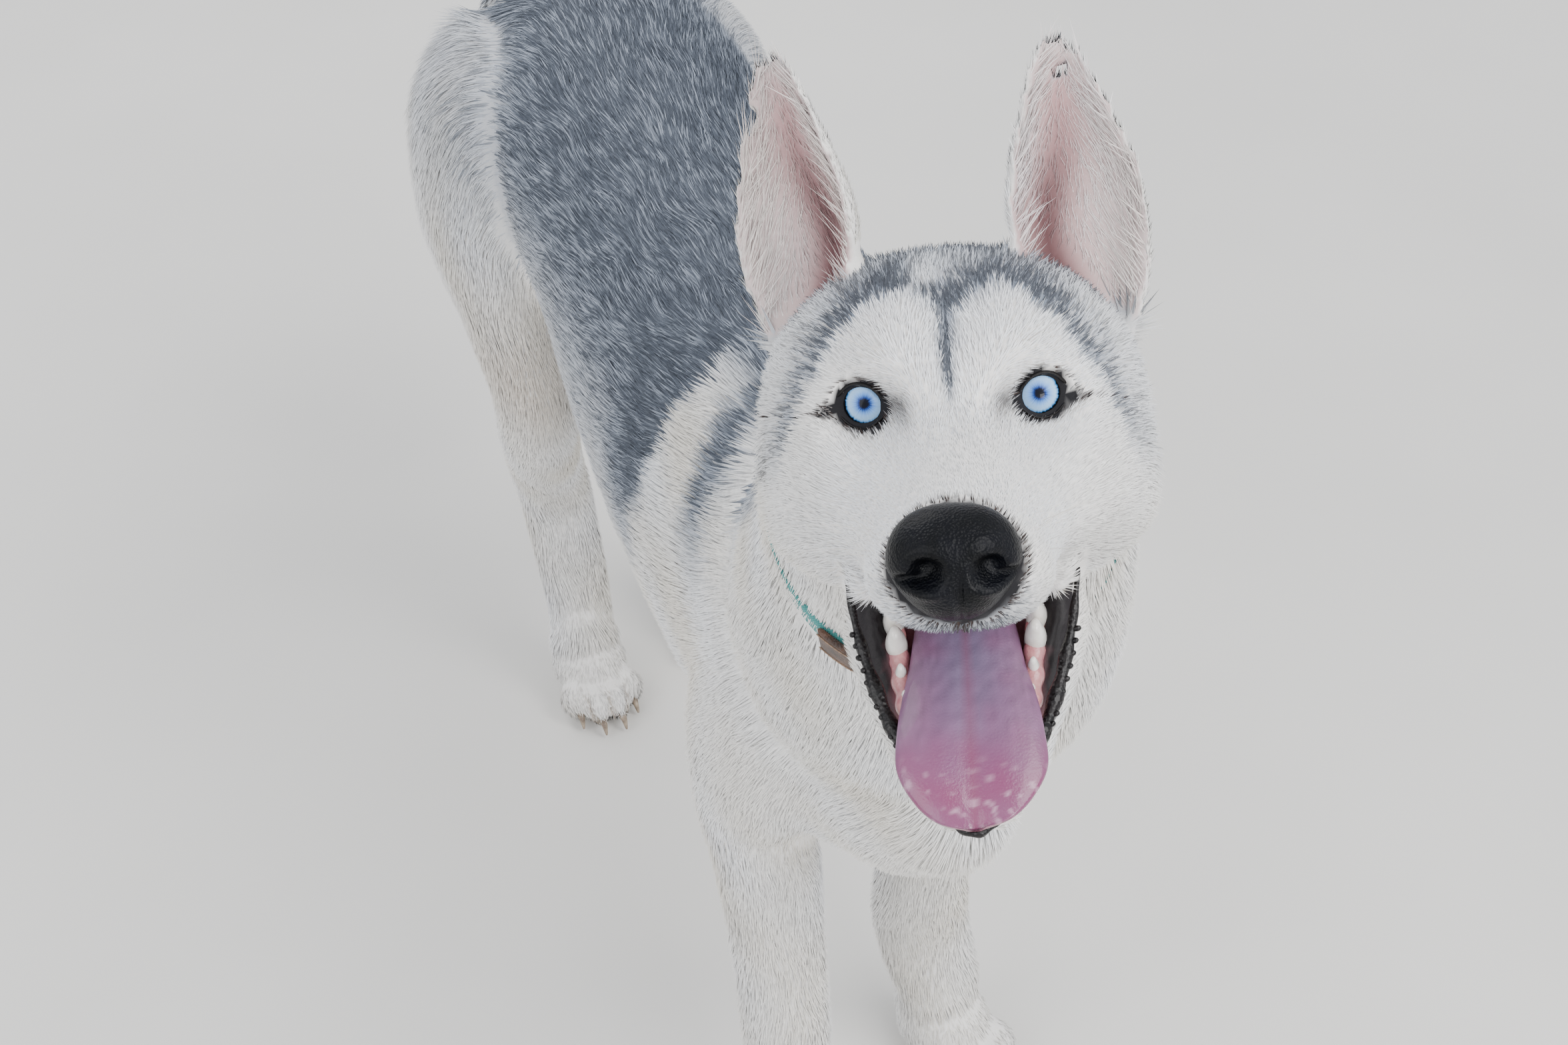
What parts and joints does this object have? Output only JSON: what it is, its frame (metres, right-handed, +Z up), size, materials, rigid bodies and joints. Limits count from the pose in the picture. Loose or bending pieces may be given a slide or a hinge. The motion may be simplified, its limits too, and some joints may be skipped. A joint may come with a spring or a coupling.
{
  "type": "siberian husky",
  "caption": "Life-size standing Siberian husky that looks up with its mouth open and tongue out, pale blue eyes, pricked ears, grey and white coat and a collar.",
  "frame": {"origin": "middle of the dog's footprint box on the floor under its paws", "axes": "+Z up, +Y from the head towards the tail, +X to the dog's left"},
  "size_m": [0.2345, 1.0173, 0.8089],
  "materials": {
    "coat_white": "cream-white fur",
    "coat_grey": "grey agouti fur with white and dark hairs",
    "nose_black": "moist pebbled black skin",
    "tongue_pink": "moist pink, fine papillae",
    "lip_black": "moist black skin",
    "teeth_ivory": "smooth enamel",
    "claw_horn": "smooth horn",
    "eye_blue": "wet, clear over an ice-blue iris",
    "collar_teal": "woven webbing",
    "collar_leather": "worn smooth leather"
  },
  "bodies": {
    "root": {"torso": "coat_grey", "neck": "coat_white", "head": "coat_white", "lower_jaw": "coat_white", "tongue": "tongue_pink", "nose": "nose_black", "ear_right": "coat_white", "ear_left": "coat_white", "eye_right": "eye_blue", "eye_left": "eye_blue", "collar": "collar_teal", "tail": "coat_grey", "fore_leg_right": "coat_white", "fore_leg_left": "coat_white", "hind_leg_right": "coat_white", "hind_leg_left": "coat_white", "fore_paw_right": "coat_white", "fore_paw_left": "coat_white", "hind_paw_right": "coat_white", "hind_paw_left": "coat_white", "collar_keeper": "collar_leather"}
  },
  "joints": []
}
